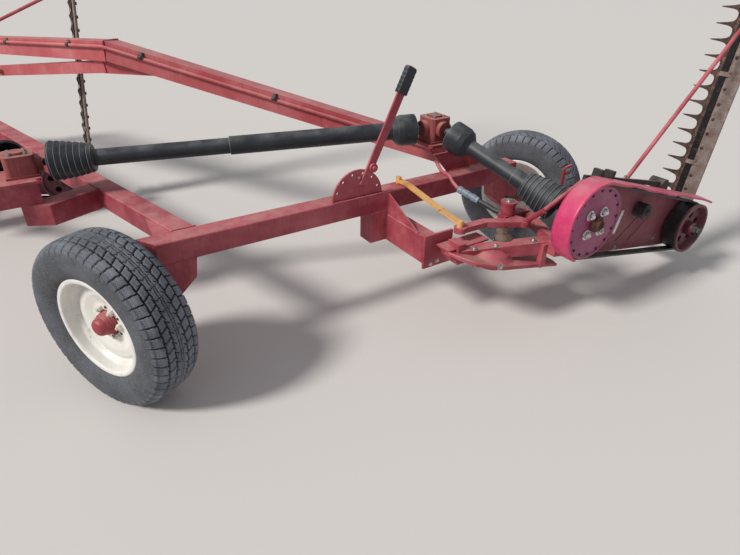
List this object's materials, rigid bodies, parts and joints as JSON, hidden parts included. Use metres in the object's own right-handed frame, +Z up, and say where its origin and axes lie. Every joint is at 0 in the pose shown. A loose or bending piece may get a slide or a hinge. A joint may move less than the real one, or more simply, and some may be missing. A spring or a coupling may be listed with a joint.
{
  "type": "towed double sickle bar mower",
  "caption": "Towed double sickle bar mower: beam on turned wheels, low tongue and high arch to the hitch, belt-driven heads with raised toothed bars, shielded drive shafts.",
  "frame": {"origin": "middle of the hitch clevis's pin hole", "axes": "+Z up, +Y to the front, +X to the right along the beam"},
  "size_m": [4.7926, 5.023, 3.1434],
  "materials": {
    "frame_paint": "matte",
    "gearbox_paint": "matte",
    "black_plastic": "matte",
    "jack_steel": "matte",
    "hose_rubber": "matte",
    "ochre_paint": "matte",
    "dark_steel": "satin",
    "hub_paint": "satin",
    "cream_paint": "satin",
    "tyre_rubber": "matte",
    "faded_plate": "matte",
    "magenta_paint": "satin",
    "pulley_paint": "matte",
    "belt_rubber": "matte",
    "bar_steel": "matte",
    "rusty_iron": "matte",
    "black_steel": "matte"
  },
  "bodies": {
    "frame": {"beam": "frame_paint", "tongue": "frame_paint", "hitch_clevis": "frame_paint", "hitch_tower": "frame_paint", "arch": "frame_paint", "arch_brace": "frame_paint", "front_cross_beam": "frame_paint", "side_bracket": "frame_paint", "left_gearbox_box": "frame_paint", "gearbox_stand": "frame_paint", "lever_sector": "frame_paint", "lever": "frame_paint", "left_leg": "frame_paint", "right_leg": "frame_paint", "left_gearbox": "gearbox_paint", "right_gearbox": "gearbox_paint", "cross_shaft": "black_plastic", "rear_shaft": "black_plastic", "link_shaft": "black_plastic", "jack_outer": "jack_steel", "hydraulic_pipe": "frame_paint", "hydraulic_hose": "hose_rubber", "flat_link": "ochre_paint", "rear_post": "frame_paint", "rear_head_frame": "frame_paint", "rear_back_plate": "faded_plate", "rear_shroud": "magenta_paint", "rear_belt": "belt_rubber", "rear_inner_shoe": "frame_paint", "rear_transport_rod": "frame_paint", "rear_lift_linkage": "black_steel", "front_post": "frame_paint", "front_head_frame": "frame_paint", "front_back_plate": "faded_plate", "front_shroud": "magenta_paint", "front_belt": "belt_rubber", "front_inner_shoe": "frame_paint", "front_transport_rod": "frame_paint", "front_lift_linkage": "black_steel"},
    "left_axle": {"left_stub_axle": "dark_steel"},
    "left_wheel": {"left_hub": "hub_paint", "left_rim": "cream_paint", "left_tyre": "tyre_rubber"},
    "right_axle": {"right_stub_axle": "dark_steel"},
    "right_wheel": {"right_hub": "hub_paint", "right_rim": "cream_paint", "right_tyre": "tyre_rubber"},
    "jack_leg": {"jack_inner": "jack_steel"},
    "rear_drum": {"rear_drive_pulley": "pulley_paint"},
    "rear_crank": {"rear_driven_pulley": "dark_steel"},
    "rear_bar": {"rear_cutter_bar": "bar_steel", "rear_guards": "rusty_iron"},
    "rear_blade": {"rear_knife": "dark_steel"},
    "front_drum": {"front_drive_pulley": "pulley_paint"},
    "front_crank": {"front_driven_pulley": "dark_steel"},
    "front_bar": {"front_cutter_bar": "bar_steel", "front_guards": "rusty_iron"},
    "front_blade": {"front_knife": "dark_steel"}
  },
  "joints": [
    {"name": "left_wheel_turn", "type": "hinge", "parent": "frame", "child": "left_axle", "pos_m": [0.90571, -4.126, -0.053], "axis": [0, 0, 1], "range_deg": [-27.5, 0]},
    {"name": "left_wheel_spin", "type": "hinge", "parent": "left_axle", "child": "left_wheel", "pos_m": [0.71057, -4.22758, -0.101], "axis": [0.887, 0.4617, 0], "continuous": true},
    {"name": "right_wheel_turn", "type": "hinge", "parent": "frame", "child": "right_axle", "pos_m": [2.85371, -4.174, -0.053], "axis": [0, 0, 1], "range_deg": [-27.5, 0]},
    {"name": "right_wheel_spin", "type": "hinge", "parent": "right_axle", "child": "right_wheel", "pos_m": [3.04886, -4.07242, -0.101], "axis": [0.887, 0.4617, 0], "continuous": true},
    {"name": "jack_raise", "type": "slide", "parent": "frame", "child": "jack_leg", "axis": [0, 0, 1], "range_m": [0, 0.2]},
    {"name": "rear_drum_spin", "type": "hinge", "parent": "frame", "child": "rear_drum", "pos_m": [2.59471, -4.876, 0.113], "axis": [0, 1, 0], "continuous": true},
    {"name": "rear_crank_spin", "type": "hinge", "parent": "frame", "child": "rear_crank", "pos_m": [3.43571, -4.876, -0.108], "axis": [0, 1, 0], "continuous": true},
    {"name": "rear_bar_fold", "type": "hinge", "parent": "frame", "child": "rear_bar", "pos_m": [3.61571, -4.7525, -0.2], "axis": [0, 1, 0], "range_deg": [0, 83]},
    {"name": "rear_knife_stroke", "type": "slide", "parent": "rear_bar", "child": "rear_blade", "axis": [0.1219, 0, 0.9925], "range_m": [-0.038, 0.038]},
    {"name": "front_drum_spin", "type": "hinge", "parent": "frame", "child": "front_drum", "pos_m": [-0.07029, -2.176, 0.018], "axis": [0, 1, 0], "continuous": true},
    {"name": "front_crank_spin", "type": "hinge", "parent": "frame", "child": "front_crank", "pos_m": [0.77071, -2.176, -0.203], "axis": [0, 1, 0], "continuous": true},
    {"name": "front_bar_fold", "type": "hinge", "parent": "frame", "child": "front_bar", "pos_m": [0.95071, -2.0525, -0.295], "axis": [0, 1, 0], "range_deg": [0, 83]},
    {"name": "front_knife_stroke", "type": "slide", "parent": "front_bar", "child": "front_blade", "axis": [0.1219, 0, 0.9925], "range_m": [-0.038, 0.038]}
  ],
  "couplings": [
    {"joint": "rear_crank_spin", "follows": "rear_drum_spin", "ratio": 1.3386},
    {"joint": "front_crank_spin", "follows": "front_drum_spin", "ratio": 1.3386}
  ]
}
